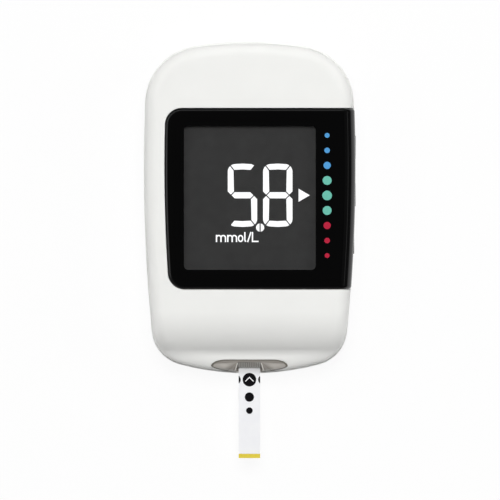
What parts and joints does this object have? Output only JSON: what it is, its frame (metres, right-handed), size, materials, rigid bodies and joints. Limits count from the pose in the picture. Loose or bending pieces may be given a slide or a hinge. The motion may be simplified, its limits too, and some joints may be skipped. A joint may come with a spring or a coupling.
{
  "type": "blood glucose meter",
  "caption": "Hand-held blood glucose meter with a lit segment display, side buttons, coin-cell door, strip ejector and a test strip in its port.",
  "frame": {"origin": "on the flat back face, below the centre of the case outline; the case lies on its back", "axes": "+Z out of the display, +Y from the strip port to the data socket, +X to the right of the display (button side)"},
  "size_m": [0.0494, 0.0969, 0.0153],
  "materials": {
    "white_shell": "fine satin moulded white",
    "black_gloss": "high gloss",
    "smoked_lens": "polished, smoked",
    "port_grey": "satin translucent",
    "button_black": "satin black",
    "steel": "plain",
    "nickel": "plated spring sheet",
    "cell_can": "rolled and brushed",
    "gold": "plated contact",
    "switch_grey": "moulded",
    "ivory": "moulded",
    "display_glass": "polished, dark",
    "lit_white": "lit",
    "dot_blue": "printed",
    "dot_green": "printed",
    "dot_red": "printed",
    "holder_white": "moulded",
    "clear_guide": "polished",
    "film_white": "film",
    "lamp": "phosphor",
    "elastomer": "silicone",
    "board_green": "solder mask",
    "chip_black": "moulded epoxy",
    "can_silver": "stamped can",
    "ceramic_tan": "ceramic chip",
    "strip_white": "laminated film",
    "strip_yellow": "laminated film",
    "print_black": "printed ink"
  },
  "bodies": {
    "meter": {"front_shell": "white_shell", "rear_shell": "white_shell", "display_panel": "black_gloss", "display_lens": "smoked_lens", "port_surround": "port_grey", "case_screws": "steel", "power_switch": "switch_grey", "up_switch": "switch_grey", "down_switch": "switch_grey", "lcd_glass": "display_glass", "lcd_digits": "lit_white", "lcd_pointer": "lit_white", "range_dots_high": "dot_blue", "range_dots_target": "dot_green", "range_dots_low": "dot_red", "lcd_holder": "holder_white", "light_guide": "clear_guide", "reflector_film": "film_white", "backlight_leds": "lamp", "elastomer_connector": "elastomer", "circuit_board": "board_green", "processor_chip": "chip_black", "radio_module": "can_silver", "quartz_crystal": "can_silver", "capacitors": "ceramic_tan", "usb_socket": "steel", "usb_tongue": "chip_black", "coin_cell_left": "cell_can", "coin_cell_right": "cell_can", "minus_contact": "nickel", "plus_contact": "nickel", "bridge_contact": "nickel", "strip_connector": "ivory", "strip_terminals": "gold", "port_led": "lamp", "ejector_spring": "steel"},
    "battery_door": {"battery_door": "white_shell"},
    "power_button": {"power_button": "button_black", "power_plunger": "ivory"},
    "up_button": {"up_button": "button_black", "up_plunger": "ivory"},
    "down_button": {"down_button": "button_black", "down_plunger": "ivory"},
    "ejector": {"ejector_slider": "white_shell", "ejector_arm": "holder_white"},
    "strip": {"test_strip": "strip_white", "strip_electrodes": "gold", "strip_dose_edge": "strip_yellow", "strip_marks": "print_black"}
  },
  "joints": [
    {"name": "battery_door_hinge", "type": "hinge", "parent": "meter", "child": "battery_door", "pos_m": [0, 0.0027, 0.0007], "axis": [-1, 0, 0], "range_deg": [0, 75]},
    {"name": "power_button_press", "type": "slide", "parent": "meter", "child": "power_button", "axis": [-1, 0, 0], "range_m": [0, 0.0004], "stiffness_N_per_m": 3000},
    {"name": "up_button_press", "type": "slide", "parent": "meter", "child": "up_button", "axis": [-1, 0, 0], "range_m": [0, 0.0004], "stiffness_N_per_m": 3000},
    {"name": "down_button_press", "type": "slide", "parent": "meter", "child": "down_button", "axis": [-1, 0, 0], "range_m": [0, 0.0004], "stiffness_N_per_m": 3000},
    {"name": "ejector_slide", "type": "slide", "parent": "meter", "child": "ejector", "axis": [0, -1, 0], "range_m": [0, 0.007], "stiffness_N_per_m": 150, "deforming": ["ejector_spring"]},
    {"name": "strip_pull", "type": "slide", "parent": "ejector", "child": "strip", "axis": [0, -1, 0], "range_m": [0, 0.014]}
  ]
}
